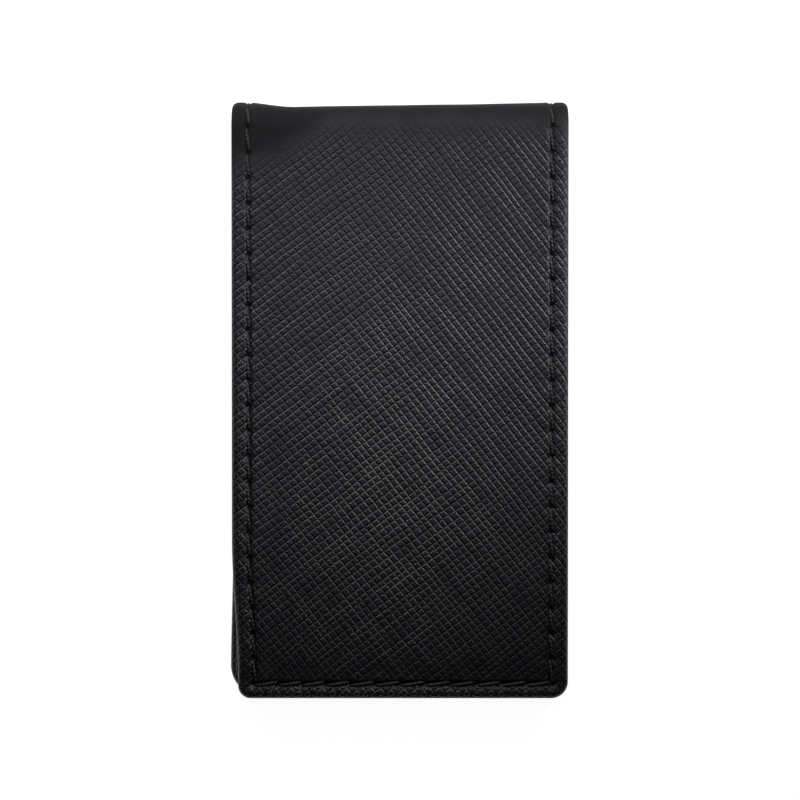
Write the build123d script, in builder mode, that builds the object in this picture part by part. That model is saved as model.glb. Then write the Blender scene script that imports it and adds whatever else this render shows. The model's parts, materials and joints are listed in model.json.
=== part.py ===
"""Magnetic money clip: two stitched leather flaps joined by a rolled leather fold.

The clip is one long strip folded in half. Each half is a flap: a face of grained leather
whose edges are turned over, a stiffening board with two disc magnets let into windows, and
a lining, all sewn together by a lockstitch seam of two threads. The fold between the flaps
is the same strip without the board, with a soft backing in its place. Closed, the magnets
pull the linings together at the free edge, so the front flap leans towards the back one.

Frame, in millimetres: +X across the clip, +Y towards the fold, +Z up through the thickness.
The back flap lies on Z = 0, and the origin is under the middle of the closed clip.
"""

import os
from math import asin, atan2, cos, degrees, pi, sin

from build123d import *

# ---------------------------------------------------------------- driving dimensions, mm
clip_width = 50.0  # finished width over the turned edges
clip_length = 89.0  # closed, from the free edge to the outside of the fold
fold_radius = 4.0  # outside radius of the fold
corner_radius = 3.0  # outline corners at the free edges
front_setback = 0.3  # the front flap is cut this much shorter than the back one
closed_gap = 0.1  # left between the linings where they meet at the free edge

face_leather = 1.0  # outer leather
core_layer = 1.0  # board, magnets, backing and turned-in leather, pressed level
lining_leather = 0.7  # inner leather

turned_edge = 4.2  # width of the turned-in leather, from the finished edge
lining_setback = 0.8  # lining edge to finished edge
board_clearance = 0.3  # board edge to turned-in leather, and board end to the fold
board_corner = 0.8  # corners of the board and of the pocket that it sits in

magnet_diameter = 12.0
magnet_side_inset = 14.0  # magnet centre to the side edge
magnet_end_inset = 13.0  # magnet centre to the free edge
window_clearance = 0.1  # magnet rim to the edge of its window in the board

seam_inset = 2.2  # seam line to the finished edge
stitch_pitch = 3.75  # from one needle hole to the next
stitch_gap = 0.7  # between the visible ends of two stitches
thread_width = 0.56  # a stitch, pressed flat in its channel
thread_height = 0.38
thread_slope = 72.0  # degrees, the two sides of a stitch above its floor
channel_clearance = 0.04  # thread to each wall of the channel that the seam pulls in

# ---------------------------------------------------------------- sizes that follow
turned_thickness = face_leather + core_layer
flap_thickness = turned_thickness + lining_leather
edge_round = 0.49 * turned_thickness
seam_x = clip_width / 2 - seam_inset
channel_width = thread_width + 2 * channel_clearance
pocket_width = clip_width - 2 * turned_edge
window_diameter = magnet_diameter + 2 * window_clearance

fold_y = clip_length / 2 - fold_radius
back_length = clip_length - fold_radius
front_length = back_length - front_setback

# The front flap leans until its lining meets the other one at the free edge.
lean = 2 * atan2(fold_radius - flap_thickness, front_length) - asin(closed_gap / front_length)
fold_arc = pi + lean

fold_centre = Vector(0, fold_y, fold_radius)
fold_axis = Axis(fold_centre, (1, 0, 0))
fold_section = Plane(origin=(0, fold_y, 0), x_dir=(1, 0, 0), z_dir=(0, -1, 0))

# Flap planes: origin on the fold line at the outer face, local +Y towards the free edge,
# local +Z from the outer face in towards the lining.
back_plane = Plane(origin=(0, fold_y, 0), x_dir=(-1, 0, 0), z_dir=(0, 0, 1))
front_plane = Plane(
    origin=fold_centre + Vector(0, -sin(lean), cos(lean)) * fold_radius,
    x_dir=(1, 0, 0),
    z_dir=(0, sin(lean), -cos(lean)),
)


def panel(inset, start, length, corner):
    """Draws a flap panel in the sketch in hand, from start to inset short of length."""
    end = length - inset
    with Locations((0, (start + end) / 2)):
        Rectangle(clip_width - 2 * inset, end - start)
    fillet(vertices().group_by(Axis.Y)[-1], corner)


def seam_channel(length):
    """Draws the channel of the seam in the sketch in hand: down both sides and across."""
    end = length - seam_inset
    with Locations((-seam_x, end / 2), (seam_x, end / 2)):
        Rectangle(channel_width, end + channel_width)
    with Locations((0, end)):
        Rectangle(2 * seam_x, channel_width)
    with Locations((0, -channel_width)):
        Rectangle(clip_width, 2 * channel_width, mode=Mode.SUBTRACT)


def thread_section():
    """Draws the section of a stitch, pressed wide where it lies and narrow outside."""
    with Locations((0, thread_height / 2)):
        Trapezoid(thread_width, thread_height, thread_slope)


def stitches_in_run(run_length):
    """Number of stitches nearest the pitch that fills a run of the seam."""
    return max(1, round(run_length / stitch_pitch))


def stitch_planes(start, end, crown):
    """One plane at the head of each stitch of a straight run, facing along the run."""
    run = end - start
    direction = run.normalized()
    count = stitches_in_run(run.length)
    across = crown.cross(direction)
    heads = [start + run * (i / count) + direction * (stitch_gap / 2) for i in range(count)]
    return [Plane(origin=head, x_dir=across, z_dir=direction) for head in heads]


def sew_flap(plane, length, floor, crown):
    """Returns the stitches of a flap's seam, lying on the channel floor at that depth."""
    end = length - seam_inset
    corners = [
        plane.from_local_coords((x, y, floor))
        for x, y in ((-seam_x, 0), (-seam_x, end), (seam_x, end), (seam_x, 0))
    ]
    with BuildPart() as stitches:
        for first, last in zip(corners, corners[1:]):
            run_length = (last - first).length
            with BuildSketch(*stitch_planes(first, last, crown)):
                thread_section()
            extrude(amount=run_length / stitches_in_run(run_length) - stitch_gap)
    return stitches


def sew_fold(radius, outward):
    """Returns the stitches that cross the fold, on a channel floor of that radius."""
    count = stitches_in_run(fold_arc * (fold_radius - thread_height))
    step = fold_arc / count
    gap = stitch_gap / (fold_radius - thread_height)
    planes = []
    for x in (-seam_x, seam_x):
        for i in range(count):
            turn = -pi / 2 + i * step + gap / 2
            away = Vector(0, cos(turn), sin(turn))
            along = Vector(0, -sin(turn), cos(turn))
            crown = away if outward else -away
            head = fold_centre + away * radius + Vector(x, 0, 0)
            planes.append(Plane(origin=head, x_dir=crown.cross(along), z_dir=along))
    with BuildPart() as stitches:
        with BuildSketch(*planes):
            thread_section()
        revolve(axis=fold_axis, revolution_arc=degrees(step - gap))
    return stitches


def face_of_flap(plane, length):
    """Returns the grained leather of a flap, with its edges turned over and the seam sunk."""
    with BuildPart() as leather:
        with BuildSketch(plane):
            panel(0, 0, length, corner_radius)
        extrude(amount=turned_thickness)
        layers = leather.edges().group_by(Axis(plane.origin, plane.z_dir))
        rims = layers[0] + layers[-1]
        fold_edges = rims.group_by(Axis(plane.origin, plane.y_dir))[0]
        fillet(rims - fold_edges, edge_round)
        with BuildSketch(plane.offset(face_leather)):
            panel(turned_edge, 0, length, board_corner)
        extrude(amount=core_layer, mode=Mode.SUBTRACT)
        with BuildSketch(plane):
            seam_channel(length)
        extrude(amount=thread_height, mode=Mode.SUBTRACT)
    return leather


def board_of_flap(plane, length):
    """Returns the stiffening board, with a window for each magnet."""
    with BuildPart() as board:
        with BuildSketch(plane.offset(face_leather)):
            panel(turned_edge + board_clearance, board_clearance, length, board_corner)
            with Locations(*magnet_places(length)):
                Circle(window_diameter / 2, mode=Mode.SUBTRACT)
        extrude(amount=core_layer)
    return board


def magnet_places(length):
    """Centres of a flap's two magnets, in the flap's own plane."""
    magnet_x = clip_width / 2 - magnet_side_inset
    return [(x, length - magnet_end_inset) for x in (-magnet_x, magnet_x)]


def magnet_of_flap(plane, place):
    """Returns one disc magnet, seated between the face and the lining."""
    with BuildPart() as magnet:
        with BuildSketch(plane.offset(face_leather)):
            with Locations(place):
                Circle(magnet_diameter / 2)
        extrude(amount=core_layer)
    return magnet


def lining_of_flap(plane, length):
    """Returns the lining of a flap, with the bobbin side of the seam sunk in it."""
    with BuildPart() as lining:
        with BuildSketch(plane.offset(turned_thickness)):
            panel(lining_setback, 0, length, corner_radius - lining_setback)
        extrude(amount=lining_leather)
        with BuildSketch(plane.offset(flap_thickness - thread_height)):
            seam_channel(length)
        extrude(amount=thread_height, mode=Mode.SUBTRACT)
    return lining


def build_flap(side, plane, length):
    """Returns the parts of one flap by name."""
    outward = -plane.z_dir
    inward = plane.z_dir
    magnets = [magnet_of_flap(plane, place) for place in magnet_places(length)]
    magnets.sort(key=lambda magnet: magnet.part.center().X)
    return {
        f"{side}_face_leather": face_of_flap(plane, length),
        f"{side}_board": board_of_flap(plane, length),
        f"{side}_magnet_left": magnets[0],
        f"{side}_magnet_right": magnets[1],
        f"{side}_lining": lining_of_flap(plane, length),
        f"{side}_needle_thread": sew_flap(plane, length, thread_height, outward),
        f"{side}_bobbin_thread": sew_flap(
            plane, length, flap_thickness - thread_height, inward
        ),
    }


def build_fold():
    """Returns the parts of the fold by name: layers rolled round the fold's axis."""
    arc = degrees(fold_arc)

    with BuildPart() as leather:
        with BuildSketch(fold_section):
            with Locations((0, turned_thickness / 2)):
                Rectangle(clip_width, turned_thickness)
            fillet(vertices(), edge_round)
            with Locations((0, face_leather + core_layer / 2)):
                Rectangle(pocket_width, core_layer, mode=Mode.SUBTRACT)
            with Locations((-seam_x, thread_height / 2), (seam_x, thread_height / 2)):
                Rectangle(channel_width, thread_height, mode=Mode.SUBTRACT)
        revolve(axis=fold_axis, revolution_arc=arc)

    with BuildPart() as backing:
        with BuildSketch(fold_section):
            with Locations((0, face_leather + core_layer / 2)):
                Rectangle(pocket_width - 2 * board_clearance, core_layer)
        revolve(axis=fold_axis, revolution_arc=arc)

    with BuildPart() as lining:
        with BuildSketch(fold_section):
            with Locations((0, turned_thickness + lining_leather / 2)):
                Rectangle(clip_width - 2 * lining_setback, lining_leather)
            floor = flap_thickness - thread_height / 2
            with Locations((-seam_x, floor), (seam_x, floor)):
                Rectangle(channel_width, thread_height, mode=Mode.SUBTRACT)
        revolve(axis=fold_axis, revolution_arc=arc)

    return {
        "fold_face_leather": leather,
        "fold_backing": backing,
        "fold_lining": lining,
        "fold_needle_thread": sew_fold(fold_radius - thread_height, outward=True),
        "fold_bobbin_thread": sew_fold(
            fold_radius - flap_thickness + thread_height, outward=False
        ),
    }


def crease_centres():
    """Centres, in the YZ plane, about which each half of the fold unrolls when it opens.

    A half fold of arc h about the fold's axis, laid out flat with its length kept, has
    turned about a point at half that arc, neutral radius * (h / 2) / sin(h / 2) away.
    """
    neutral_radius = fold_radius - face_leather / 2
    half_arc = fold_arc / 2
    reach = neutral_radius * half_arc / 2 / sin(half_arc / 2)
    turns = (-pi / 2 + half_arc / 2, -pi / 2 + half_arc * 3 / 2)
    return [(fold_y + reach * cos(turn), fold_radius + reach * sin(turn)) for turn in turns]


def main():
    """Builds every part and writes one STEP file for each."""
    os.makedirs("parts", exist_ok=True)
    parts = {
        **build_flap("back", back_plane, back_length),
        **build_fold(),
        **build_flap("front", front_plane, front_length),
    }
    for name, built in parts.items():
        built.part.label = name
        export_step(built.part, f"parts/{name}.step")
    print("lean", degrees(lean), "half opening", degrees(fold_arc) / 2)
    print("crease centres", crease_centres())


main()
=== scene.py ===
"""Dresses a magnetic money clip: grained leather, lining, stitches and what they hide.

The clip is one strip of leather folded in half. Every soft piece is shaped on that strip
first and then laid along its path: across the clip, along from the middle of the fold, and
deep from the outer face. Lengths in the classes are millimetres.
"""

import json
import logging
import math
from dataclasses import dataclass, field
from enum import Enum
from typing import Any, Callable

import bmesh
import bpy
from mathutils import Matrix, Vector, noise


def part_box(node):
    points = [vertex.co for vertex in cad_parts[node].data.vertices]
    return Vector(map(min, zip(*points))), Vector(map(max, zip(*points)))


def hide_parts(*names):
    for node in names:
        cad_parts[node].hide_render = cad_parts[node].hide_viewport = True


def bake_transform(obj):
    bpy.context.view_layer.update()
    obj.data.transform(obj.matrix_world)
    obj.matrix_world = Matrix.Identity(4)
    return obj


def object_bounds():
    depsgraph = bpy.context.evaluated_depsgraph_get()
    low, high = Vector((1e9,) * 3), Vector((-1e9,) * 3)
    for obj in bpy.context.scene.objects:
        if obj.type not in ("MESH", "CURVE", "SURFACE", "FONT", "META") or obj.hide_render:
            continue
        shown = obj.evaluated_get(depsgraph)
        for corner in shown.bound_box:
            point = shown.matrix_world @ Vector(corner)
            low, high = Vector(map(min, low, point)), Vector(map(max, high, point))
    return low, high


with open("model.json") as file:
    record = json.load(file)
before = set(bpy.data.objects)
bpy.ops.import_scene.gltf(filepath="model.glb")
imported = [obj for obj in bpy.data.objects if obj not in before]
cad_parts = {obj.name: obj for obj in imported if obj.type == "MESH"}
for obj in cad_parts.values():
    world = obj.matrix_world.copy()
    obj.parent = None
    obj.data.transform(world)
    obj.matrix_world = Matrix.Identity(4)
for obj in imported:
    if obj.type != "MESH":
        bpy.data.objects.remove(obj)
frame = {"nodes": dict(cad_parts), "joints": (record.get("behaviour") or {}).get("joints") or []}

MM = 0.001
CAD_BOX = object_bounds()

logging.basicConfig(level=logging.INFO, format="%(message)s")
log = logging.getLogger("money_clip")


# ------------------------------------------------------------------------------ helpers


def linear(code: str) -> tuple[float, float, float, float]:
    """Turns an sRGB hex colour into a linear one.

    Args:
        code: The colour as six hex digits, with or without a leading #.

    Returns:
        Red, green and blue as linear values, and an alpha of 1.
    """
    digits = code.lstrip("#")
    shares = [int(digits[i : i + 2], 16) / 255 for i in (0, 2, 4)]
    bent = [s / 12.92 if s <= 0.04045 else ((s + 0.055) / 1.055) ** 2.4 for s in shares]
    return (*bent, 1.0)


def add_node(
    tree: bpy.types.NodeTree,
    kind: str,
    inputs: dict[str | int, Any] | None = None,
    **settings: Any,
) -> bpy.types.Node:
    """Adds a node, sets its properties, and fills or links its inputs.

    Args:
        tree: The node tree that gets the node.
        kind: The node's type without its ShaderNode prefix.
        inputs: Values or output sockets by input name or number.
        **settings: Properties of the node itself.

    Returns:
        The new node.
    """
    node = tree.nodes.new("ShaderNode" + kind)
    for name, value in settings.items():
        setattr(node, name, value)
    for key, value in (inputs or {}).items():
        if isinstance(value, bpy.types.NodeSocket):
            tree.links.new(value, node.inputs[key])
        else:
            node.inputs[key].default_value = value
    return node


def new_material(name: str) -> tuple[bpy.types.Material, bpy.types.NodeTree]:
    """Makes an empty node material.

    Args:
        name: What the material is.

    Returns:
        The material and its cleared node tree.
    """
    material = bpy.data.materials.new(name)
    material.use_nodes = True
    material.node_tree.nodes.clear()
    return material, material.node_tree


def smooth(value: float, low: float, high: float) -> float:
    """Eases from 0 at low to 1 at high."""
    share = min(1.0, max(0.0, (value - low) / (high - low)))
    return share * share * (3 - 2 * share)


def hump(distance: float, width: float) -> float:
    """A bell of height 1 that fades over width."""
    return math.exp(-((distance / width) ** 2))


def spaced(*runs: tuple[float, float]) -> list[float]:
    """Divides consecutive runs evenly.

    Args:
        *runs: The end of each run and the longest step that it may have.

    Returns:
        Positions from 0 to the end of the last run.
    """
    places = [0.0]
    for end, step in runs:
        start = places[-1]
        count = max(1, math.ceil((end - start) / step))
        places += [start + (end - start) * (i + 1) / count for i in range(count)]
    return places


# ------------------------------------------------------------------------- strip and path


class Side(Enum):
    """The two halves of the folded strip."""

    BACK = -1
    FRONT = 1

    @property
    def title(self) -> str:
        """The half's name as the pieces use it."""
        return self.name.lower()


@dataclass(frozen=True)
class StripPath:
    """The path that the strip follows: back flap, fold, front flap.

    Positions are across (x), along (v, from the middle of the fold, positive on the front
    half) and deep (h, from the outer face inwards).
    """

    fold_y: float
    radius: float
    arc: float
    width: float
    flap_length: float
    front_setback: float = 0.3  # how much shorter the front flap is
    front_drift: float = 0.9
    back_drift: float = -0.35
    drift_along: tuple[float, float] = (24.0, 3.0)  # it starts and is whole, from the free edge
    drift_across: tuple[float, float] = (8.0, 25.0)  # the same, to the left of the middle

    @classmethod
    def from_frame(cls) -> "StripPath":
        """Measures the path on the construction nodes and the crease between them.

        Returns:
            The path of this clip.
        """
        low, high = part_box("back_face_leather")
        fold_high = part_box("fold_face_leather")[1]
        crease = next(j for j in frame["joints"] if j["name"] == "back_crease")
        return cls(
            fold_y=high.y / MM,
            radius=(fold_high.y - high.y) / MM,
            arc=math.radians(2 * crease["range_deg"][1]),
            width=(high.x - low.x) / MM,
            flap_length=(high.y - low.y) / MM,
        )

    @property
    def half_fold(self) -> float:
        """Length of half the fold, over the outer face."""
        return self.radius * self.arc / 2

    def creased(self, crease: float, step: float) -> list[tuple[float, float]]:
        """Runs along half the fold, with one bare step across its crease.

        Args:
            crease: Half the length of the bare step.
            step: Longest step beside it.

        Returns:
            Each run's end, from the middle of the fold, and its longest step.
        """
        middle = self.half_fold / 2
        return [(middle - crease, step), (middle + crease, 2 * crease), (self.half_fold, step)]

    def length(self, side: Side) -> float:
        """Length of a half, from the middle of the fold to the free edge."""
        setback = self.front_setback if side is Side.FRONT else 0.0
        return self.half_fold + self.flap_length - setback

    def drift(self, x: float, v: float) -> float:
        """How far the left free corners have crept across, since no fold is quite true.

        Args:
            x: Across the clip.
            v: Along the strip, from the middle of the fold.

        Returns:
            The shift across, in millimetres.
        """
        length = self.length(Side.FRONT)
        start, whole = self.drift_along
        share = smooth(abs(v), length - start, length - whole) * smooth(-x, *self.drift_across)
        return share * (self.front_drift if v > 0 else self.back_drift)

    def place(self, x: float, v: float, h: float) -> Vector:
        """Lays a point of the strip along the path.

        Args:
            x: Across the clip.
            v: Along the strip, from the middle of the fold.
            h: Depth below the outer face.

        Returns:
            The point in the shared frame, in metres.
        """
        turn = self.arc / 2 + v / self.radius
        held = min(self.arc, max(0.0, turn))
        beyond = (turn - held) * self.radius
        away = Vector((0.0, math.sin(held), -math.cos(held)))
        ahead = Vector((0.0, math.cos(held), math.sin(held)))
        centre = Vector((x + self.drift(x, v), self.fold_y, self.radius))
        return (centre + away * (self.radius - h) + ahead * beyond) * MM


@dataclass(frozen=True)
class Seam:
    """The lockstitch seam: down both sides, round the fold and across each free edge."""

    path: StripPath
    inset: float = 2.5
    end_inset: float = 2.2
    pitch: float = 3.75
    thread_depth: float = 0.38  # the stitches round the fold are counted at this depth

    @property
    def x(self) -> float:
        """Distance of the side runs from the middle."""
        return self.path.width / 2 - self.inset

    def end(self, side: Side) -> float:
        """Distance of the end run from the middle of the fold."""
        return self.path.length(side) - self.end_inset

    def count(self, run: float) -> int:
        """Number of stitches that fill a run."""
        return max(1, round(run / self.pitch))

    @property
    def fold_count(self) -> int:
        """Number of stitches round the whole fold."""
        return self.count(self.path.arc * (self.path.radius - self.thread_depth))

    def side_phase(self, s: float, side: Side) -> float:
        """Counts stitches along a side run; whole numbers are needle holes.

        Args:
            s: Distance from the middle of the fold.
            side: The half that the run is on.

        Returns:
            The count of stitches since the start of the flap, or of the fold.
        """
        half = self.path.half_fold
        if s < half:
            return (s + half) / (2 * half) * self.fold_count
        run = self.end(side) - half
        return (s - half) / run * self.count(run)

    def end_phase(self, x: float) -> float:
        """Counts stitches along an end run; whole numbers are needle holes."""
        return (x + self.x) / (2 * self.x) * self.count(2 * self.x)

    def hole(self, phase: float, spread: float = 0.42) -> float:
        """1 at a needle hole, fading to 0 along the stitch."""
        return hump((phase - round(phase)) * self.pitch, spread)

    def nearest(self, x: float, s: float, side: Side) -> tuple[float, float]:
        """Finds the nearest run of the seam.

        Args:
            x: Across the clip.
            s: Distance from the middle of the fold.
            side: The half.

        Returns:
            The distance to the seam line and the stitch count there.
        """
        end = self.end(side)
        past = max(0.0, s - end)
        beside = max(0.0, abs(x) - self.x)
        to_side = math.hypot(abs(x) - self.x, past)
        to_end = math.hypot(s - end, beside)
        if to_side < to_end:
            return to_side, self.side_phase(min(s, end), side)
        return to_end, self.end_phase(max(-self.x, min(self.x, x)))


# ------------------------------------------------------------------------------ finishes


@dataclass(frozen=True)
class GrainedLeather:
    """Calf leather embossed with a cross-hatch plate, then spray-finished semi-gloss black.

    The plate leaves small raised tiles between two families of narrow grooves. The tiles
    give the eye a soft sheen, and the grooves a net of bright and dark edges, with painted
    shade in their bottoms. Over the fold the grain is stretched nearly flat: the leather is
    dull there, and its colour is darkened there as painted shade.
    """

    plate: str = "#0e1017"
    # colour painted into the bottoms of the grooves: painted shade, as the bump casts none
    groove: str = "#040404"
    roughness: float = 0.42
    stretched: float = 0.97  # roughness where the grain is stretched flat
    pitch: float = 0.99  # mean distance between grooves
    regularity: float = 0.56  # 1 would space them evenly
    rising_turn: float = -54.0  # degrees that bring each family of grooves upright
    falling_turn: float = 38.0
    sway: float = 0.9  # how far a groove wanders
    groove_width: float = 0.22
    relief: float = 0.086  # depth of the net
    tile_step: float = 0.12  # how unevenly the tiles stand, as a share of that depth
    pore_depth: float = 0.20  # depth of the pores, as a share of it
    weak_side: float = 0.70  # share left of each family on its weak side of the strip
    near_depth: float = 0.80  # share of the depth beside the fold
    far_depth: float = 1.35  # share of the depth at the free edges
    smooth_fold: float = 3.6  # how far the flattened grain reaches from the fold's middle
    recovery: float = 7.5  # length over which the grain comes back beyond that
    flattened: float = 0.12  # share of the grain that is left there
    outer_fold: float = 0.6  # share of it that is left on the fold's outermost line
    worn_corner: float = 6.0  # how much farther the wear reaches at the fold's left end

    def lines(
        self, tree: bpy.types.NodeTree, flat: Any, turn: float, shift: float
    ) -> tuple[Any, Any]:
        """Builds one family of grooves.

        Args:
            tree: The node tree.
            flat: Socket with the place on the flat strip, in millimetres.
            turn: Angle that brings the grooves upright, in degrees.
            shift: Offset that keeps the two families' noise apart.

        Returns:
            Socket with the groove's share, 1 at its bottom, and one with a number per band.
        """
        turned = add_node(
            tree, "VectorRotate", {"Vector": flat, "Angle": math.radians(turn)},
            rotation_type="Z_AXIS",
        ).outputs[0]

        # The grooves wander in waves of about 5 mm across them and 22 mm along.
        stretched = add_node(
            tree, "VectorMath", {0: turned, 1: (0.21, 0.045, 0.0), 2: (shift, shift, 0.0)},
            operation="MULTIPLY_ADD",
        ).outputs[0]
        wander = add_node(
            tree, "TexNoise", {"Vector": stretched, "Scale": 1.0, "Detail": 3.5, "Roughness": 0.5},
            noise_dimensions="2D",
        ).outputs[0]
        across = add_node(tree, "SeparateXYZ", {0: turned}).outputs[0]
        swayed = add_node(
            tree, "Math", {0: wander, 1: self.sway, 2: across}, operation="MULTIPLY_ADD"
        ).outputs[0]
        counted = add_node(
            tree, "Math", {0: swayed, 1: 1 / self.pitch}, operation="MULTIPLY"
        ).outputs[0]
        edge = add_node(
            tree, "TexVoronoi", {"W": counted, "Scale": 1.0, "Randomness": 1 - self.regularity},
            voronoi_dimensions="1D", feature="DISTANCE_TO_EDGE",
        ).outputs["Distance"]
        band = add_node(
            tree, "TexVoronoi", {"W": counted, "Scale": 1.0, "Randomness": 1 - self.regularity},
            voronoi_dimensions="1D", feature="F1",
        ).outputs["W"]
        groove = add_node(
            tree, "MapRange",
            {"Value": edge, "From Min": self.groove_width / self.pitch, "From Max": 0.02,
             "To Min": 0.0, "To Max": 1.0},
        ).outputs[0]

        # They are less deep in patches of about 2 mm across them and 6 mm along.
        patchy = add_node(
            tree, "VectorMath", {0: turned, 1: (0.5, 0.16, 0.0), 2: (-shift, 3 * shift, 0.0)},
            operation="MULTIPLY_ADD",
        ).outputs[0]
        depth = add_node(
            tree, "TexNoise", {"Vector": patchy, "Scale": 1.0, "Detail": 1.0},
            noise_dimensions="2D",
        ).outputs[0]
        depth = add_node(
            tree, "MapRange", {"Value": depth, "From Min": 0.3, "From Max": 0.6,
                               "To Min": 0.78, "To Max": 1.0},
        ).outputs[0]
        share = add_node(tree, "Math", {0: groove, 1: depth}, operation="MULTIPLY").outputs[0]
        return share, band

    def net(self, tree: bpy.types.NodeTree, flat: Any, across: Any) -> tuple[Any, Any]:
        """Crosses the two families; the plate bit deeper with one on each side of the strip.

        Args:
            tree: The node tree.
            flat: Socket with the place on the flat strip, in millimetres.
            across: Socket with its first coordinate, across the strip.

        Returns:
            Socket with the net's share, 1 at the bottom of a groove, and one with a random
            number for each tile between the grooves.
        """
        families, bands = [], []
        for turn, shift, low, high, left, right in (
            (self.rising_turn, 3.1, -4.0, 22.0, 1.0, self.weak_side),
            (self.falling_turn, 11.7, -22.0, 2.0, self.weak_side, 1.0),
        ):
            share, band = self.lines(tree, flat, turn, shift)
            bite = add_node(
                tree, "MapRange", {"Value": across, "From Min": low, "From Max": high,
                                   "To Min": left, "To Max": right},
            ).outputs[0]
            families.append(
                add_node(tree, "Math", {0: share, 1: bite}, operation="MULTIPLY").outputs[0]
            )
            bands.append(band)
        net = add_node(
            tree, "Math", {0: families[0], 1: families[1], 2: 0.15}, operation="SMOOTH_MAX"
        ).outputs[0]
        number = add_node(tree, "CombineXYZ", {0: bands[0], 1: bands[1]}).outputs[0]
        tile = add_node(tree, "TexWhiteNoise", {"Vector": number}, noise_dimensions="2D").outputs[0]
        return net, tile

    def stretch(
        self, tree: bpy.types.NodeTree, flat: Any, across: Any, along: Any
    ) -> tuple[Any, Any]:
        """Flattens the grain beside the fold's outermost line and wears it at one corner.

        Args:
            tree: The node tree.
            flat: Socket with the place on the flat strip, in millimetres.
            across: Socket with its first coordinate, across the strip.
            along: Socket with its second one, from the middle of the fold.

        Returns:
            Socket with the share of the grain that is left, and one with the net's depth.
        """
        away = add_node(tree, "Math", {0: along}, operation="ABSOLUTE").outputs[0]
        rolled = add_node(
            tree, "MapRange", {"Value": away, "From Min": 0.6, "From Max": 3.4,
                               "To Min": self.outer_fold, "To Max": 0.0},
        ).outputs[0]
        patch = add_node(
            tree, "TexNoise", {"Vector": flat, "Scale": 0.16, "Detail": 2.0}, noise_dimensions="2D"
        ).outputs[0]
        away = add_node(
            tree, "Math", {0: patch, 1: 3.0, 2: away}, operation="MULTIPLY_ADD"
        ).outputs[0]
        corner = add_node(
            tree, "MapRange", {"Value": across, "From Min": -23.0, "From Max": -9.0,
                               "To Min": self.worn_corner, "To Max": 0.0},
            interpolation_type="SMOOTHSTEP",
        ).outputs[0]
        away = add_node(tree, "Math", {0: away, 1: corner}, operation="SUBTRACT").outputs[0]
        grain = add_node(
            tree, "MapRange",
            {"Value": away, "From Min": self.smooth_fold,
             "From Max": self.smooth_fold + self.recovery,
             "To Min": self.flattened, "To Max": 1.0},
            interpolation_type="SMOOTHSTEP",
        ).outputs[0]
        grain = add_node(tree, "Math", {0: grain, 1: rolled}, operation="MAXIMUM").outputs[0]
        depth = add_node(
            tree, "MapRange", {"Value": away, "From Min": 12.0, "From Max": 65.0,
                               "To Min": self.near_depth, "To Max": self.far_depth},
        ).outputs[0]
        return grain, depth

    def material(self) -> bpy.types.Material:
        """Builds the material; it reads the strip's own millimetres.

        Returns:
            The leather's material.
        """
        material, tree = new_material("embossed_calf_leather")
        flat = add_node(tree, "UVMap", uv_map="strip").outputs[0]
        place = add_node(tree, "SeparateXYZ", {0: flat}).outputs
        net, tile = self.net(tree, flat, place[0])
        grain, depth = self.stretch(tree, flat, place[0], place[1])
        net = add_node(tree, "Math", {0: net, 1: grain}, operation="MULTIPLY").outputs[0]
        net = add_node(tree, "Math", {0: net, 1: depth}, operation="MULTIPLY").outputs[0]

        # Each tile stands and shines a little differently.
        pores = add_node(
            tree, "TexNoise", {"Vector": flat, "Scale": 3.2, "Detail": 3.0, "Roughness": 0.6},
            noise_dimensions="2D",
        ).outputs[0]
        height = add_node(tree, "Math", {0: tile, 1: grain}, operation="MULTIPLY").outputs[0]
        height = add_node(
            tree, "Math", {0: height, 1: self.tile_step, 2: 1.0}, operation="MULTIPLY_ADD"
        ).outputs[0]
        height = add_node(tree, "Math", {0: height, 1: net}, operation="SUBTRACT").outputs[0]
        height = add_node(
            tree, "Math", {0: pores, 1: self.pore_depth, 2: height}, operation="MULTIPLY_ADD"
        ).outputs[0]
        bump = add_node(
            tree, "Bump", {"Height": height, "Strength": 1.0, "Distance": self.relief * MM}
        ).outputs[0]

        shade = add_node(
            tree, "MapRange", {"Value": tile, "To Min": 0.86, "To Max": 1.12}
        ).outputs[0]
        # Painted shade: the colour is darkened where the grain is flattened, over the fold and at
        # its worn left corner.
        fold_painted_shade = add_node(tree, "MapRange", {"Value": grain, "To Min": 0.2}).outputs[0]
        shade = add_node(tree, "Math", {0: shade, 1: fold_painted_shade}, operation="MULTIPLY").outputs[0]
        tile_colour = add_node(
            tree, "VectorMath", {0: linear(self.plate)[:3], "Scale": shade}, operation="SCALE"
        ).outputs[0]
        # Painted shade: the bottoms of the grooves are painted towards the dark groove colour,
        # since the bump casts no shade.
        painted_groove_shade = add_node(
            tree, "MapRange", {"Value": net, "From Min": 0.25, "From Max": 0.7},
            interpolation_type="SMOOTHSTEP",
        ).outputs[0]
        colour = add_node(
            tree, "Mix", {0: painted_groove_shade, 6: tile_colour, 7: linear(self.groove)}, data_type="RGBA"
        ).outputs[2]
        rough = add_node(
            tree, "MapRange", {"Value": grain, "To Min": self.stretched, "To Max": self.roughness}
        ).outputs[0]
        shader = add_node(
            tree, "BsdfPrincipled",
            {"Base Color": colour, "Roughness": rough, "Normal": bump,
             "Specular IOR Level": 0.25},
        )
        add_node(tree, "OutputMaterial", {"Surface": shader.outputs[0]})
        return material


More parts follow.
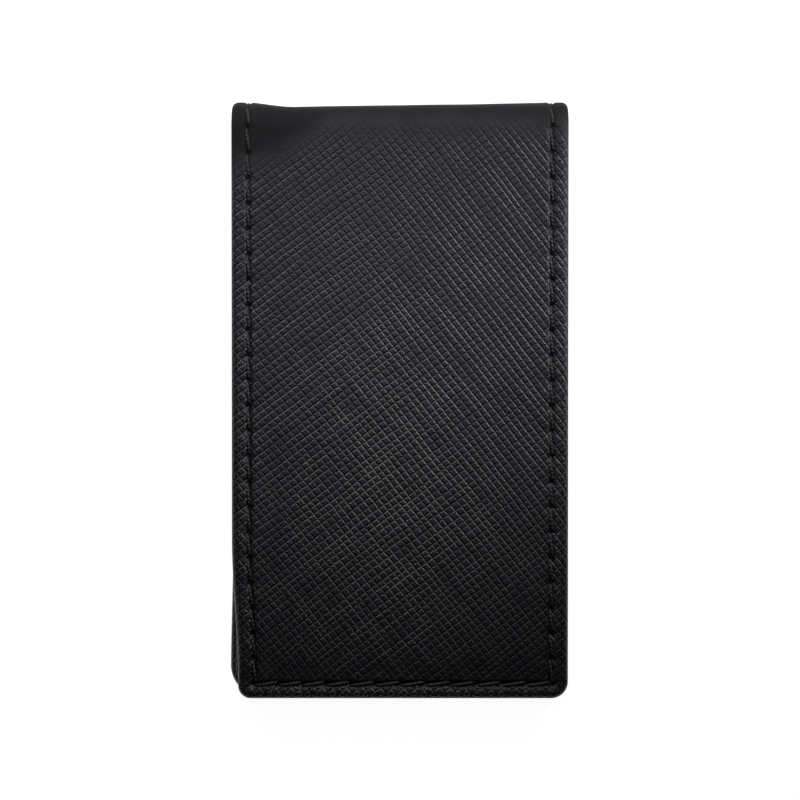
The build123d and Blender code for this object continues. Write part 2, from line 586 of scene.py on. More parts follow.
@dataclass(frozen=True)
class LiningLeather:
    """Split leather with a fine pebble print, pigmented charcoal; it looks flat and dry.

    Over the inside of the fold it is squeezed into small creases across the strip.
    """

    colour: str = "#424246"
    roughness: float = 0.62
    pebble: float = 0.55  # width of a pebble of the print
    relief: float = 0.045  # depth between the pebbles
    creasing: float = 2.2  # depth of the fold's creases, as a share of that
    creased_to: tuple[float, float] = (5.0, 8.0)  # where they start to fade, and are gone

    def material(self) -> bpy.types.Material:
        """Builds the material; it reads the strip's own millimetres.

        Returns:
            The lining's material.
        """
        material, tree = new_material("pebbled_split_leather")
        flat = add_node(tree, "UVMap", uv_map="strip").outputs[0]
        cells = add_node(
            tree, "TexVoronoi", {"Vector": flat, "Scale": 1 / self.pebble, "Randomness": 1.0},
            voronoi_dimensions="2D", feature="SMOOTH_F1",
        ).outputs["Distance"]
        cloud = add_node(
            tree, "TexNoise", {"Vector": flat, "Scale": 0.11, "Detail": 3.0}, noise_dimensions="2D"
        ).outputs[0]
        long = add_node(
            tree, "VectorMath", {0: flat, 1: (0.09, 0.95, 0.0)}, operation="MULTIPLY"
        ).outputs[0]
        crease = add_node(
            tree, "TexNoise", {"Vector": long, "Scale": 1.0, "Detail": 2.0, "Roughness": 0.45},
            noise_dimensions="2D",
        ).outputs[0]
        crease = add_node(
            tree, "MapRange", {"Value": crease, "From Min": 0.5, "From Max": 0.62},
            interpolation_type="SMOOTHSTEP",
        ).outputs[0]
        along = add_node(tree, "SeparateXYZ", {0: flat}).outputs[1]
        along = add_node(tree, "Math", {0: along}, operation="ABSOLUTE").outputs[0]
        squeezed = add_node(
            tree, "MapRange", {"Value": along, "From Min": self.creased_to[1],
                               "From Max": self.creased_to[0],
                               "To Min": 0.0, "To Max": self.creasing},
            interpolation_type="SMOOTHSTEP",
        ).outputs[0]
        crease = add_node(tree, "Math", {0: crease, 1: squeezed}, operation="MULTIPLY").outputs[0]
        height = add_node(tree, "Math", {0: cells, 1: crease}, operation="ADD").outputs[0]
        bump = add_node(
            tree, "Bump",
            {"Height": height, "Strength": 1.0, "Distance": self.relief * MM}, invert=True,
        ).outputs[0]
        tone = add_node(
            tree, "MapRange", {"Value": cloud, "From Min": 0.3, "From Max": 0.7,
                               "To Min": 0.85, "To Max": 1.15},
        ).outputs[0]
        colour = add_node(
            tree, "VectorMath", {0: linear(self.colour)[:3], "Scale": tone}, operation="SCALE"
        ).outputs[0]
        rough = add_node(
            tree, "MapRange", {"Value": cloud, "From Min": 0.3, "From Max": 0.7,
                               "To Min": self.roughness - 0.06, "To Max": self.roughness + 0.05},
        ).outputs[0]
        shader = add_node(
            tree, "BsdfPrincipled",
            {"Base Color": colour, "Roughness": rough, "Normal": bump, "IOR": 1.5},
        )
        add_node(tree, "OutputMaterial", {"Surface": shader.outputs[0]})
        return material


@dataclass(frozen=True)
class WaxedThread:
    """Bonded polyester sewing thread, three plies twisted and waxed, dyed black.

    The plies catch light as slanting bands along each stitch, and these bands are painted into the
    colour too: painted highlight on each ply and painted shade between them.
    """

    colour: str = "#09090a"
    roughness: float = 0.66
    ply: float = 0.62  # length along the thread from one ply to the next
    twist_depth: float = 0.03  # depth of the groove between two plies

    def material(self) -> bpy.types.Material:
        """Builds the material; it reads each stitch's own turn and length.

        Returns:
            The thread's material.
        """
        material, tree = new_material("waxed_polyester_thread")
        where = add_node(tree, "UVMap", uv_map="ply").outputs[0]
        parts = add_node(tree, "SeparateXYZ", {0: where}).outputs
        twist = add_node(
            tree, "Math", {0: parts[1], 1: 1 / self.ply, 2: parts[0]}, operation="MULTIPLY_ADD"
        ).outputs[0]
        turned = add_node(tree, "Math", {0: twist, 1: 2 * math.pi}, operation="MULTIPLY").outputs[0]
        wave = add_node(tree, "Math", {0: turned}, operation="SINE").outputs[0]
        bump = add_node(
            tree, "Bump", {"Height": wave, "Strength": 1.0, "Distance": self.twist_depth * MM}
        ).outputs[0]
        # Painted shade and highlight: the colour is darker in the grooves between the plies and a
        # little lighter on their crests.
        tone = add_node(
            tree, "MapRange", {"Value": wave, "From Min": -1.0, "From Max": 1.0,
                               "To Min": 0.6, "To Max": 1.1},
        ).outputs[0]
        colour = add_node(
            tree, "VectorMath", {0: linear(self.colour)[:3], "Scale": tone}, operation="SCALE"
        ).outputs[0]
        shader = add_node(
            tree, "BsdfPrincipled",
            {"Base Color": colour, "Roughness": self.roughness, "Normal": bump, "IOR": 1.45},
        )
        add_node(tree, "OutputMaterial", {"Surface": shader.outputs[0]})
        return material


@dataclass(frozen=True)
class PressedFibreboard:
    """Grey-brown pressed fibreboard: matt, flecked with the fibres that it is made of.

    Single fibres are too fine to show, so the flecks are drawn as clumps of about 1.1 mm.
    """

    light: str = "#8c7b66"
    dark: str = "#5f5243"
    clumps: float = 900.0  # to a metre

    def material(self) -> bpy.types.Material:
        """Builds the material on the piece's own place.

        Returns:
            The board's material.
        """
        material, tree = new_material("pressed_fibreboard")
        place = add_node(tree, "TexCoord").outputs["Object"]
        fibres = add_node(
            tree, "TexNoise",
            {"Vector": place, "Scale": self.clumps, "Detail": 4.0, "Distortion": 1.5},
        ).outputs[0]
        fleck = add_node(
            tree, "MapRange", {"Value": fibres, "From Min": 0.35, "From Max": 0.65}
        ).outputs[0]
        colour = add_node(
            tree, "Mix", {0: fleck, 6: linear(self.dark), 7: linear(self.light)},
            data_type="RGBA",
        ).outputs[2]
        bump = add_node(
            tree, "Bump", {"Height": fibres, "Strength": 0.6, "Distance": 0.06 * MM}
        ).outputs[0]
        shader = add_node(
            tree, "BsdfPrincipled", {"Base Color": colour, "Roughness": 0.88, "Normal": bump}
        )
        add_node(tree, "OutputMaterial", {"Surface": shader.outputs[0]})
        return material


@dataclass(frozen=True)
class NonWovenFelt:
    """Grey non-woven polyester felt: soft, matt, a tangle of fine fibres.

    The fibres are too fine to show, so the tangle is drawn as tufts of about 0.7 mm.
    """

    light: str = "#4a4a4d"
    dark: str = "#2b2b2e"
    tufts: float = 1500.0  # to a metre

    def material(self) -> bpy.types.Material:
        """Builds the material on the piece's own place.

        Returns:
            The felt's material.
        """
        material, tree = new_material("non_woven_felt")
        place = add_node(tree, "TexCoord").outputs["Object"]
        tangle = add_node(
            tree, "TexNoise",
            {"Vector": place, "Scale": self.tufts, "Detail": 3.0, "Distortion": 3.0},
        ).outputs[0]
        colour = add_node(
            tree, "Mix", {0: tangle, 6: linear(self.dark), 7: linear(self.light)},
            data_type="RGBA",
        ).outputs[2]
        bump = add_node(
            tree, "Bump", {"Height": tangle, "Strength": 0.8, "Distance": 0.08 * MM}
        ).outputs[0]
        shader = add_node(
            tree, "BsdfPrincipled",
            {"Base Color": colour, "Roughness": 0.95, "Normal": bump, "Sheen Weight": 0.3},
        )
        add_node(tree, "OutputMaterial", {"Surface": shader.outputs[0]})
        return material


@dataclass(frozen=True)
class NickelPlate:
    """Nickel plate on a sintered magnet: bright warm grey, softly scratched from tumbling.

    The scratches are too fine to show, so they are drawn as cloudy patches of about 1.4 mm.
    """

    colour: str = "#c9c5bd"
    roughness: float = 0.28
    patches: float = 700.0  # to a metre

    def material(self) -> bpy.types.Material:
        """Builds the material on the piece's own place.

        Returns:
            The plate's material.
        """
        material, tree = new_material("nickel_plated_magnet")
        place = add_node(tree, "TexCoord").outputs["Object"]
        scratch = add_node(
            tree, "TexNoise",
            {"Vector": place, "Scale": self.patches, "Detail": 5.0, "Distortion": 0.6},
        ).outputs[0]
        rough = add_node(
            tree, "MapRange", {"Value": scratch, "From Min": 0.3, "From Max": 0.7,
                               "To Min": self.roughness - 0.06, "To Max": self.roughness + 0.14},
        ).outputs[0]
        bump = add_node(
            tree, "Bump", {"Height": scratch, "Strength": 0.2, "Distance": 0.01 * MM}
        ).outputs[0]
        shader = add_node(
            tree, "BsdfPrincipled",
            {"Base Color": linear(self.colour), "Metallic": 1.0, "Roughness": rough,
             "Normal": bump},
        )
        add_node(tree, "OutputMaterial", {"Surface": shader.outputs[0]})
        return material


@dataclass(frozen=True)
class StudioPaper:
    """Matt white background paper; it shows as plain white and keeps a faint shadow."""

    colour: str = "#8c8c8c"
    light: str = "#ffffff"
    glow: float = 0.96

    def material(self) -> bpy.types.Material:
        """Builds the material, bright where it is looked at or mirrored.

        Returns:
            The paper's material.
        """
        material, tree = new_material("white_background_paper")
        path = add_node(tree, "LightPath").outputs
        seen = add_node(
            tree, "Math",
            {0: path["Is Camera Ray"], 1: path["Is Glossy Ray"]}, operation="MAXIMUM",
        ).outputs[0]
        seen = add_node(
            tree, "Math", {0: seen, 1: path["Is Transmission Ray"]}, operation="MAXIMUM"
        ).outputs[0]
        strength = add_node(tree, "Math", {0: seen, 1: self.glow}, operation="MULTIPLY").outputs[0]
        shader = add_node(
            tree, "BsdfPrincipled",
            {"Base Color": linear(self.colour), "Roughness": 0.9, "Specular IOR Level": 0.1,
             "Emission Color": linear(self.light), "Emission Strength": strength},
        )
        add_node(tree, "OutputMaterial", {"Surface": shader.outputs[0]})
        return material


# --------------------------------------------------------------------- relief of the seam


@dataclass(frozen=True)
class Relief:
    """How far the leather is pulled in, by the seam, the needle holes and the fold."""

    seam: Seam
    reach: float = 3.2  # how far from the seam line its pull ends
    valley: float = 0.68  # depth at a needle hole
    bridge: float = 0.66  # share of it under the middle of a stitch
    valley_width: float = 0.34  # half width of the valley under a stitch
    hole_width: float = 0.14  # how much more that is at a hole
    pucker: float = 0.12
    pucker_length: float = 0.8
    pucker_width: float = 1.2
    overlap: float = 0.4  # how far a valley and a pucker add up
    rest: float = 0.05  # depth of the skin inside the seam
    slack: float = 0.045  # how uneven it is there
    inside: tuple[float, float] = (0.3, 2.5)  # where it starts and is whole, from the seam
    dip: float = 0.20  # depth of the end run's pull on the flap
    dip_inside: float = 2.9  # how far it fades on each side of the run
    dip_outside: float = 1.4
    sag: float = 0.36  # depth of the fold's sag in the middle of the clip
    sag_slope: float = 0.015  # how much more of it there is to the left, per millimetre
    sag_length: float = 3.6  # how far it fades from the middle of the fold
    sag_across: tuple[float, float] = (-0.4, 7.0)  # where it starts and is whole, from the seam

    def stitched(self, x: float, s: float, side: Side) -> float:
        """Depth of the seam's valley and of the puckers beside it.

        Args:
            x: Across the clip.
            s: Distance from the middle of the fold.
            side: The half.

        Returns:
            The depth in millimetres.
        """
        distance, phase = self.seam.nearest(x, s, side)
        if distance > self.reach:
            return 0.0
        hole = self.seam.hole(phase)
        depth = self.valley * (self.bridge + (1 - self.bridge) * hole)
        valley = depth * hump(distance, self.valley_width + self.hole_width * hole)
        pucker = self.pucker * self.seam.hole(phase, self.pucker_length)
        pucker *= hump(distance, self.pucker_width)
        return max(valley, pucker) + self.overlap * min(valley, pucker)

    def uneven(self, x: float, v: float) -> float:
        """Slow unevenness of a hand-laid skin, in waves of 7 mm across and 9 mm along."""
        return self.slack * noise.noise(Vector((x / 7.0, v / 9.0, 4.2)))

    def face(self, x: float, s: float, side: Side) -> float:
        """Depth of the outer face.

        Args:
            x: Across the clip.
            s: Distance from the middle of the fold.
            side: The half.

        Returns:
            The depth in millimetres.
        """
        from_side = self.seam.x - abs(x)
        past_end = s - self.seam.end(side)
        inside = smooth(from_side, *self.inside) * smooth(-past_end, *self.inside)
        depth = self.stitched(x, s, side)
        depth += inside * (self.rest + self.uneven(x, s * side.value))
        depth += self.dip * hump(past_end, self.dip_inside if past_end < 0 else self.dip_outside)
        across = smooth(from_side, *self.sag_across)
        return depth + across * (self.sag - self.sag_slope * x) * hump(s, self.sag_length)


# ---------------------------------------------------------------------------- the pieces


def face_outward(bm: bmesh.types.BMesh) -> None:
    """Turns the faces of closed shapes outward, all at once; they must agree already."""
    if bm.calc_volume(signed=True) < 0:
        bmesh.ops.reverse_faces(bm, faces=bm.faces)


def layered_grid(
    columns: list[float], rows: list[float]
) -> tuple[bmesh.types.BMesh, list[tuple[bmesh.types.BMVert, float, float, bool]]]:
    """Makes a flat grid with a second one under it, closed round the edge.

    Args:
        columns: Grid places across.
        rows: Grid places along.

    Returns:
        The bmesh, and each vertex with its places across and along, and True where it is
        on the hidden side.
    """
    bm = bmesh.new()
    bmesh.ops.create_grid(bm, x_segments=len(columns) - 1, y_segments=len(rows) - 1, size=1.0)
    made = bmesh.ops.extrude_face_region(bm, geom=bm.faces[:], use_keep_orig=True)
    under = {v for v in made["geom"] if isinstance(v, bmesh.types.BMVert)}
    spots = []
    for vert in bm.verts:
        across = columns[round((vert.co.x + 1) / 2 * (len(columns) - 1))]
        along = rows[round((vert.co.y + 1) / 2 * (len(rows) - 1))]
        spots.append((vert, across, along, vert in under))
    return bm, spots


def finished(name: str, bm: bmesh.types.BMesh, material: bpy.types.Material) -> bpy.types.Object:
    """Turns a bmesh into a smooth-shaded piece with one material.

    Args:
        name: The piece's name.
        bm: Its shape, in metres, in place; it is freed.
        material: Its finish.

    Returns:
        The piece, linked to the scene.
    """
    for face in bm.faces:
        face.smooth = True
    mesh = bpy.data.meshes.new(name)
    bm.to_mesh(mesh)
    bm.free()
    piece = bpy.data.objects.new(name, mesh)
    bpy.context.scene.collection.objects.link(piece)
    mesh.materials.append(material)
    return piece


@dataclass(frozen=True)
class Rim:
    """How a sheet ends at its outline: turned over and tucked under, or cut and rounded."""

    left_corner: float
    right_corner: float
    radius: float
    wraps: bool
    tuck: float = 1.2
    thickness: float = 0.7
    facet: float = 0.42  # longest step round the rim, as a share of its radius

    def corner(self, x: float) -> float:
        """Radius of the outline's corner on that side of the middle."""
        return self.left_corner if x < 0 else self.right_corner

    @property
    def turn(self) -> float:
        """Angle that the rim turns through: half a turn, or a quarter for a cut edge."""
        return math.pi if self.wraps else math.pi / 2

    def runs(self, flat: float) -> list[tuple[float, float]]:
        """Grid runs past the flat part: the round of the rim, then the tuck.

        Args:
            flat: Grid place where the flat part ends.

        Returns:
            Each run's end and longest step.
        """
        turned = flat + self.radius * self.turn
        tucked = [(turned + self.tuck, self.tuck / 2)] if self.wraps else []
        return [(turned, self.radius * self.facet)] + tucked

    def reach(self, ring: float, corner: float, under: bool) -> tuple[float, float]:
        """Follows the leather over the rim.

        Args:
            ring: Length of leather past the corner's centre.
            corner: Radius of that corner.
            under: True for the sheet's hidden side.

        Returns:
            Distance from the corner's centre, and depth below the face.
        """
        thin = self.thickness if under and self.wraps else 0.0
        start = corner - self.radius
        if ring <= start:
            return ring, thin
        turn = min(self.turn, (ring - start) / self.radius)
        past = ring - start - turn * self.radius
        reach = start + (self.radius - thin) * math.sin(turn) - past
        return reach, self.radius - (self.radius - thin) * math.cos(turn)


@dataclass
class Sheet:
    """One half of a leather layer, from the middle of the fold round to its free edge.

    Half the fold turns at its crease. No row lies within the crease, so it opens straight.
    """

    path: StripPath
    side: Side
    rim: Rim
    inset: float
    level: float
    relief: Callable[[float, float], float]
    floor: float | None = None
    crease: float = 0.1  # half the length of the bare step at the crease
    border: float = 4.2  # width of the border where the seam needs the fine step
    fine: float = 0.2
    coarse: float = 0.62
    flap_step: float = 0.47
    fold_step: float = 0.36
    first_step: float = 0.03  # so that the two halves' shading meets at the fold's middle

    def columns(self) -> list[float]:
        """Spaces the grid across.

        Returns:
            Places from one rim to the other.
        """
        flat = self.path.width / 2 - self.inset - self.rim.radius
        half = spaced(
            (self.path.width / 2 - self.border, self.coarse),
            (flat, self.fine),
            *self.rim.runs(flat),
        )
        return [-place for place in reversed(half[1:])] + half

    def rows(self) -> list[float]:
        """Spaces the grid along.

        Returns:
            Places from the middle of the fold to the free edge and round its rim.
        """
        flat = self.path.length(self.side) - self.inset - self.rim.radius
        return spaced(
            (self.first_step, self.first_step),
            *self.path.creased(self.crease, self.fold_step),
            (self.path.length(self.side) - self.border, self.flap_step),
            (flat, self.fine),
            *self.rim.runs(flat),
        )

    def unfold(self, a: float, b: float) -> tuple[float, float, float, float, float]:
        """Rounds the corners of a square grid with rings about each corner's centre.

        Args:
            a: Grid place across.
            b: Grid place along.

        Returns:
            The foot of the ring (across, along), its direction, and the ring's length.
        """
        corner = self.rim.corner(a)
        half = self.path.width / 2 - self.inset - corner
        end = self.path.length(self.side) - self.inset - corner
        sign = math.copysign(1.0, a)
        past_side = abs(a) - half
        past_end = b - end
        if past_side <= 0 and past_end <= 0:
            return a, b, 0.0, 0.0, 0.0
        if past_end <= 0:
            return sign * half, b, sign, 0.0, past_side
        if past_side <= 0:
            return a, end, 0.0, 1.0, past_end
        ring = max(past_side, past_end)
        turn = math.pi / 4 * min(past_side, past_end) / ring
        turn = turn if past_side >= past_end else math.pi / 2 - turn
        return sign * half, end, sign * math.cos(turn), math.sin(turn), ring

    def build(self, name: str, material: bpy.types.Material) -> bpy.types.Object:
        """Shapes the sheet from a flat grid.

        Args:
            name: The piece's name.
            material: Its finish.

        Returns:
            The piece in place.
        """
        bm, spots = layered_grid(self.columns(), self.rows())
        flat = bm.loops.layers.uv.new("strip")
        inward = 1.0 if self.floor is None else -1.0
        cut = {}
        for vert, a, b, hidden in spots:
            foot_x, foot_s, ahead_x, ahead_s, ring = self.unfold(a, b)
            uncurled = foot_s + ahead_s * ring
            cut[vert] = Vector((foot_x + ahead_x * ring, uncurled * self.side.value))
            corner = self.rim.corner(a)
            reach, drop = self.rim.reach(ring, corner, hidden)
            x = foot_x + ahead_x * reach
            s = foot_s + ahead_s * reach
            if hidden and self.floor is not None:
                depth = self.floor
            else:
                fade = 1.0 - smooth(ring - corner + self.rim.radius, 0.0, self.rim.radius)
                depth = self.level + inward * (drop + fade * self.relief(x, s))
            vert.co = self.path.place(x, s * self.side.value, depth)
        bmesh.ops.recalc_face_normals(bm, faces=bm.faces)
        face_outward(bm)
        for face in bm.faces:
            for loop in face.loops:
                loop[flat].uv = cut[loop.vert]
        return finished(name, bm, material)


@dataclass
class Backing:
    """The felt that pads half the fold between its two leathers."""

    path: StripPath
    side: Side
    width: float
    crease: float
    top: float = 1.08  # depths below the outer face of the felt's own two faces
    floor: float = 1.94
    column_step: float = 1.2
    row_step: float = 0.5

    def build(self, name: str, material: bpy.types.Material) -> bpy.types.Object:
        """Shapes the felt from a flat grid, as deep as the gap that it fills.

        Args:
            name: The piece's name.
            material: Its finish.

        Returns:
            The piece in place.
        """
        columns = spaced((self.width, self.column_step))
        rows = spaced(*self.path.creased(self.crease, self.row_step))
        bm, spots = layered_grid(columns, rows)
        for vert, across, along, hidden in spots:
            vert.co = self.path.place(
                across - self.width / 2, along * self.side.value,
                self.floor if hidden else self.top,
            )
        bmesh.ops.recalc_face_normals(bm, faces=bm.faces)
        face_outward(bm)
        return finished(name, bm, material)


class Thread(Enum):
    """The two threads of the lockstitch, by the way in depth that their stitches bulge."""

    NEEDLE = -1.0
    BOBBIN = 1.0

    @property
    def title(self) -> str:
        """The thread's name as the pieces use it."""
        return self.name.lower()


@dataclass
class Stitches:
    """Every stitch of one thread on one half, flap and half fold."""

    path: StripPath
    seam: Seam
    side: Side
    thread: Thread
    level: float
    with_middle: bool  # True on the half that has the stitch over the fold's middle
    width: float = 0.46
    height: float = 0.34
    length: float = 3.4
    rise: float = 0.26
    slant: float = -9.0
    sides: int = 8
    steps: int = 6

    @property
    def arch(self) -> float:
        """Radius of the arch that a stitch makes over its length."""
        return (self.length**2 / 4 + self.rise**2) / (2 * self.rise)

    def unit(self) -> bpy.types.Mesh:
        """Spins one arched stitch.

        Returns:
            Its mesh, in millimetres: x across, y along, z up from its lowest point.
        """
        bm = bmesh.new()
        made = bmesh.ops.create_circle(bm, cap_ends=True, segments=self.sides, radius=0.5)
        bmesh.ops.scale(bm, vec=(self.width, self.height, 1.0), verts=made["verts"])
        half_turn = math.asin(self.length / 2 / self.arch)
        bmesh.ops.rotate(
            bm, verts=bm.verts, cent=(0, 0, 0),
            matrix=Matrix.Rotation(math.pi / 2, 3, "X"),
        )
        bmesh.ops.translate(bm, verts=bm.verts, vec=(0, 0, self.arch))
        bmesh.ops.rotate(
            bm, verts=bm.verts, cent=(0, 0, 0),
            matrix=Matrix.Rotation(half_turn, 3, "X"),
        )
        bmesh.ops.spin(
            bm, geom=bm.faces[:] + bm.edges[:] + bm.verts[:], cent=(0, 0, 0), axis=(1, 0, 0),
            angle=-2 * half_turn, steps=self.steps, use_duplicate=False,
        )
        low = min(v.co.z for v in bm.verts)
        bmesh.ops.translate(bm, verts=bm.verts, vec=(0, 0, -low))
        bmesh.ops.recalc_face_normals(bm, faces=bm.faces)
        mesh = bpy.data.meshes.new("unit_stitch")
        bm.to_mesh(mesh)
        bm.free()
        return mesh

    def centres(self) -> list[tuple[float, float, bool]]:
        """Places every stitch of the half.

        Returns:
            For each stitch its place across and along the strip, and whether it lies across.
        """
        half = self.path.half_fold
        end = self.seam.end(self.side)
        hair = 0.01
        places = []
        in_fold = self.seam.fold_count
        for i in range(in_fold):
            s = (-half + 2 * half * (i + 0.5) / in_fold) * self.side.value
            if s > hair or (self.with_middle and abs(s) < hair):
                places.append(s)
        on_side = self.seam.count(end - half)
        places += [half + (end - half) * (i + 0.5) / on_side for i in range(on_side)]
        across = self.seam.count(2 * self.seam.x)
        ends = [self.seam.x * (2 * (i + 0.5) / across - 1) for i in range(across)]
        return (
            [(x, s, False) for x in (-self.seam.x, self.seam.x) for s in places]
            + [(x, end, True) for x in ends]
        )

    def build(self, name: str, material: bpy.types.Material) -> bpy.types.Object:
        """Lays a copy of the stitch at every place of the seam.

        Args:
            name: The piece's name.
            material: Its finish.

        Returns:
            The piece in place.
        """
        unit = self.unit()
        top = max(v.co.z for v in unit.vertices)
        bm = bmesh.new()
        ply = bm.loops.layers.uv.new("ply")
        for x, s, across in self.centres():
            first = len(bm.verts)
            first_face = len(bm.faces)
            bm.from_mesh(unit)
            bm.verts.ensure_lookup_table()
            bm.faces.ensure_lookup_table()
            turn = math.radians(self.slant + (90.0 if across else 0.0))
            local = {}
            for vert in bm.verts[first:]:
                local[vert] = vert.co.copy()
                on_strip = Matrix.Rotation(turn, 3, "Z") @ vert.co
                depth = self.level - self.thread.value * (top - vert.co.z)
                vert.co = self.path.place(
                    x + on_strip.x, (s + on_strip.y) * self.side.value, depth
                )
            for face in bm.faces[first_face:]:
                turns = [self.around(local[loop.vert], top) for loop in face.loops]
                if max(turns) - min(turns) > 0.5:
                    turns = [t + 1.0 if t < 0.5 else t for t in turns]
                for loop, share in zip(face.loops, turns):
                    loop[ply].uv = (share, local[loop.vert].y)
        face_outward(bm)
        return finished(name, bm, material)

    def around(self, point: Vector, top: float) -> float:
        """Finds the place round the stitch's own section.

        Args:
            point: A point of the single stitch.
            top: Height of its highest point.

        Returns:
            The share of a full turn, from 0 to 1.
        """
        fall = self.arch - math.sqrt(max(0.0, self.arch**2 - point.y**2))
        middle = top - self.height / 2 - fall
        return (math.atan2(point.z - middle, point.x) / (2 * math.pi)) % 1.0


@dataclass
class Half:
    """One half of the clip: its flap, and the fold up to the middle."""

    path: StripPath
    side: Side
    seam: Seam
    relief: Relief
    turned_edge: float = 0.98  # radius of the outer leather's turned edge
    cut_edge: float = 0.3  # radius of the lining's cut edge
    setback: float = 0.8  # of the lining from the outer edge
    lining: float = 0.68  # thickness of the lining
    pull: float = 0.75  # share of the seam's valley that the lining shows
    crease: float = 1.57  # half the length that lining and felt keep straight at the crease
    needle_sink: float = 0.10  # how deep each thread lies below its own face
    bobbin_sink: float = 0.06
    thickness: float = field(init=False)

    def __post_init__(self) -> None:
        """Measures the layers on the construction nodes."""
        self.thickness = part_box("back_lining")[1].z / MM

    @property
    def corners(self) -> tuple[float, float]:
        """Radii of the left and right free corners, as the leather was pared and turned."""
        return (5.0, 3.0) if self.side is Side.BACK else (1.9, 2.5)

    def ends_of_bend(self, hair: float = 0.08) -> tuple[Vector, Vector]:
        """Start and end of this half's crease, a hair apart on the lining's side.

        Args:
            hair: Distance between them along the outer face.

        Returns:
            The two points in the shared frame, back flap to front flap.
        """
        middle = self.path.half_fold / 2
        before, after = (
            self.path.place(0.0, self.side.value * (middle + step), self.thickness)
            for step in (hair / 2, -hair / 2)
        )
        return (before, after) if self.side is Side.BACK else (after, before)

    def bend(self, piece: bpy.types.Object) -> None:
        """Bakes a piece's place into its mesh; the two ends of its crease are found but not used.

        Args:
            piece: A soft piece of this half.
        """
        start, end = self.ends_of_bend()
        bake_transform(piece)

    def outer(self, material: bpy.types.Material) -> bpy.types.Object:
        """Makes the grained leather, turned over its edges and pulled in by the seam.

        Args:
            material: Its finish.

        Returns:
            The piece.
        """
        sheet = Sheet(
            path=self.path,
            side=self.side,
            rim=Rim(*self.corners, radius=self.turned_edge, wraps=True),
            inset=0.0,
            level=0.0,
            relief=lambda x, s: self.relief.face(x, s, self.side),
        )
        piece = sheet.build(f"{self.side.title}_grained_leather", material)
        self.bend(piece)
        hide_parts(f"{self.side.title}_face_leather", "fold_face_leather")
        return piece

    def inner(self, material: bpy.types.Material) -> bpy.types.Object:
        """Makes the lining, cut just inside the turned edge.

        Args:
            material: Its finish.

        Returns:
            The piece.
        """
        left, right = (corner - self.setback for corner in self.corners)
        sheet = Sheet(
            path=self.path,
            side=self.side,
            rim=Rim(left, right, radius=self.cut_edge, wraps=False),
            inset=self.setback,
            level=self.thickness,
            relief=lambda x, s: self.pull * self.relief.stitched(x, s, self.side),
            floor=self.thickness - self.lining,
            crease=self.crease,
        )
        piece = sheet.build(f"{self.side.title}_lining_leather", material)
        self.bend(piece)
        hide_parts(f"{self.side.title}_lining", "fold_lining")
        return piece

    def backing(self, material: bpy.types.Material) -> bpy.types.Object:
        """Makes the felt between the two leathers, where the board stops.

        Args:
            material: Its finish.

        Returns:
            The piece.
        """
        low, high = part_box("fold_backing")
        felt = Backing(
            path=self.path, side=self.side, width=(high.x - low.x) / MM, crease=self.crease
        )
        piece = felt.build(f"{self.side.title}_fold_felt", material)
        self.bend(piece)
        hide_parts("fold_backing")
        return piece

    def stitches(self, material: bpy.types.Material) -> list[bpy.types.Object]:
        """Sews the needle thread on the face and the bobbin thread on the lining.

        Args:
            material: Their finish.

        Returns:
            The two pieces.
        """
        made = []
        for thread, level in (
            (Thread.NEEDLE, self.needle_sink),
            (Thread.BOBBIN, self.thickness - self.bobbin_sink),
        ):
            run = Stitches(
                path=self.path, seam=self.seam, side=self.side, thread=thread, level=level,
                with_middle=self.side is Side.BACK,
            )
            word = thread.title
            piece = run.build(f"{self.side.title}_{word}_stitches", material)
            self.bend(piece)
            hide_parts(f"{self.side.title}_{word}_thread", f"fold_{word}_thread")
            made.append(piece)
        return made


# ---------------------------------------------------------------------------- the studio


@dataclass(frozen=True)
class SoftBox:
    """A square lamp behind a grid, in metres, watts and degrees."""

    name: str
    place: tuple[float, float, float]
    size: float
    watts: float
    spread: float
    aim: tuple[float, float, float] = (0.0, 0.012, 0.007)

    def hang(self) -> bpy.types.Object:
        """Hangs the lamp and turns it to its aim.

        Returns:
            The lamp.
        """
        light = bpy.data.lights.new(self.name, "AREA")
        light.size = self.size
        light.energy = self.watts
        light.spread = math.radians(self.spread)
        lamp = bpy.data.objects.new(self.name, light)
        lamp.location = self.place
        ahead = Vector(self.aim) - Vector(self.place)
        lamp.rotation_euler = ahead.to_track_quat("-Z", "Y").to_euler()
        lamp.visible_camera = False
        bpy.context.scene.collection.objects.link(lamp)
        return lamp


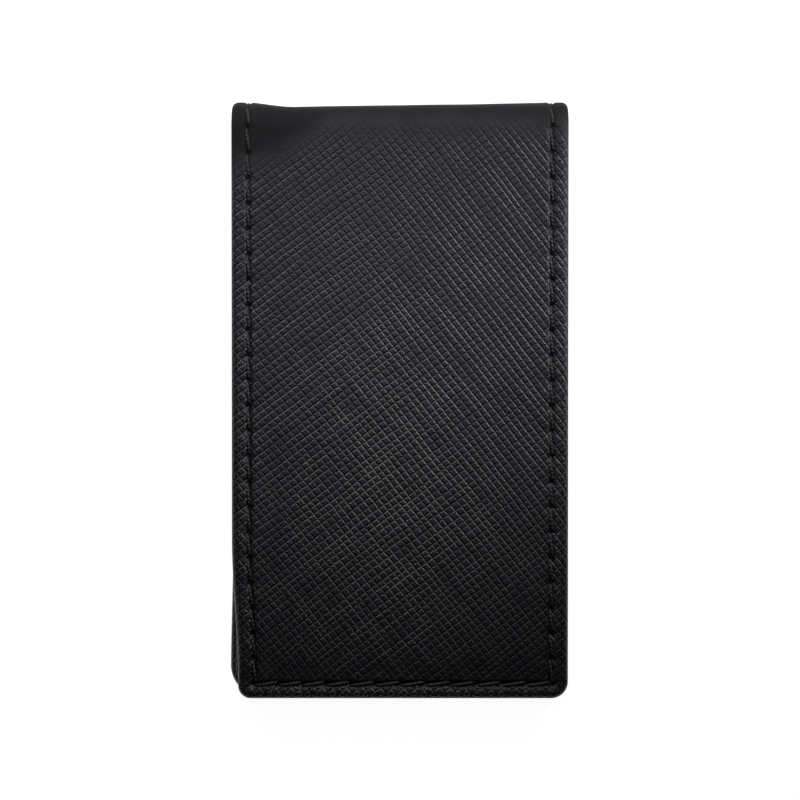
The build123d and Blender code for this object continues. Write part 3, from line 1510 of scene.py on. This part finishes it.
@dataclass
class Studio:
    """A white paper sweep, small soft boxes, a dim room and the camera, in metres."""

    disc: float = 1.6  # radius of the paper's flat middle
    bend: float = 0.2  # radius of the turn up to its wall
    wall: float = 0.1
    gap: float = 0.00001  # between the clip and the paper
    height: float = 0.5008  # of the camera
    offset: float = 0.00015  # of the camera, towards the fold
    lens: float = 150.0  # in millimetres, as is the sensor
    sensor: float = 36.0
    room_colour: str = "#f3f9ff"
    room_strength: float = 0.015
    boxes: tuple[SoftBox, ...] = (
        SoftBox("left_key", (-0.072, 0.083, 0.067), 0.05, 0.0134, 54.0),
        SoftBox("right_key", (0.082, 0.074, 0.072), 0.05, 0.0205, 52.0),
        SoftBox("right_rim", (0.120, 0.030, 0.030), 0.03, 0.0042, 40.0),
        SoftBox("low_fill", (0.0, 0.160, 0.075), 0.08, 0.0088, 40.0),
        SoftBox("overhead", (0.0, 0.052, 0.112), 0.08, 0.0061, 68.0),
        SoftBox("top_fill", (0.0, 0.020, 0.160), 0.08, 0.0021, 50.0),
        SoftBox("open_fill", (0.0, 0.116, 0.2), 0.08, 0.023, 34.0, aim=(0.0, 0.116, 0.0)),
    )

    def paper(self, material: bpy.types.Material) -> bpy.types.Object:
        """Spins the paper's profile into a floor that turns up all round.

        Args:
            material: Its finish.

        Returns:
            The paper.
        """
        bm = bmesh.new()
        middle = bm.verts.new((0.0, 0.0, 0.0))
        edge = bm.verts.new((self.disc, 0.0, 0.0))
        bm.edges.new((middle, edge))
        made = bmesh.ops.spin(
            bm, geom=[edge], cent=(self.disc, 0.0, self.bend), axis=(0, 1, 0),
            angle=-math.pi / 2, steps=12, use_duplicate=False,
        )
        last = [g for g in made["geom_last"] if isinstance(g, bmesh.types.BMVert)]
        raised = bmesh.ops.extrude_vert_indiv(bm, verts=last)
        bmesh.ops.translate(bm, verts=raised["verts"], vec=(0.0, 0.0, self.wall))
        bmesh.ops.spin(
            bm, geom=bm.edges[:], cent=(0, 0, 0), axis=(0, 0, 1),
            angle=2 * math.pi, steps=96, use_merge=True, use_duplicate=False,
        )
        bmesh.ops.remove_doubles(bm, verts=bm.verts, dist=1e-5)
        # The normals point at the clip, from which the sweep is seen.
        bmesh.ops.recalc_face_normals(bm, faces=bm.faces)
        bmesh.ops.reverse_faces(bm, faces=bm.faces)
        low = min(0.0, CAD_BOX[0].z) - self.gap
        bmesh.ops.translate(bm, verts=bm.verts, vec=(0.0, 0.0, low))
        piece = finished("paper_sweep", bm, material)
        return piece

    def lamps(self) -> None:
        """Lights the clip from beyond its fold and both sides of it, in a dim even room.

        The grids on the lamps hold the light on the fold's half, so that it falls off softly
        towards the free edge. One more lamp hangs where the front flap lies when it is open.
        """
        for box in self.boxes:
            box.hang()
        world = bpy.data.worlds.new("dim_room")
        world.use_nodes = True
        background = world.node_tree.nodes["Background"].inputs
        background["Color"].default_value = linear(self.room_colour)
        background["Strength"].default_value = self.room_strength
        bpy.context.scene.world = world

    def camera(self) -> bpy.types.Object:
        """Hangs the camera straight above the clip, with the fold at the top.

        Returns:
            The camera.
        """
        data = bpy.data.cameras.new("camera")
        data.lens = self.lens
        data.sensor_width = self.sensor
        data.clip_start, data.clip_end = 0.01, 20.0
        camera = bpy.data.objects.new("camera", data)
        camera.location = (0.0, self.offset, self.height)
        bpy.context.scene.collection.objects.link(camera)
        bpy.context.scene.camera = camera
        return camera


def dress_hidden_layers() -> None:
    """Gives the boards and magnets that the leather hides their own finishes."""
    finishes = {
        "board": PressedFibreboard().material(),
        "magnet": NickelPlate().material(),
    }
    for name, node in frame["nodes"].items():
        for word, material in finishes.items():
            if word in name:
                node.data.materials.clear()
                node.data.materials.append(material)
                log.info("dressed %s", name)


def main() -> None:
    """Builds the clip's pieces in order, then the studio."""
    path = StripPath.from_frame()
    seam = Seam(path)
    relief = Relief(seam)
    leather = GrainedLeather().material()
    lining = LiningLeather().material()
    thread = WaxedThread().material()
    felt = NonWovenFelt().material()
    for side in Side:
        half = Half(path=path, side=side, seam=seam, relief=relief)
        soft = [half.outer(leather), half.inner(lining), half.backing(felt)]
        for piece in soft + half.stitches(thread):
            log.info("made %s with %d faces", piece.name, len(piece.data.polygons))
    dress_hidden_layers()
    studio = Studio()
    studio.paper(StudioPaper().material())
    studio.lamps()
    studio.camera()
    bpy.context.scene.view_settings.view_transform = "Standard"


if __name__ == "__main__":
    main()
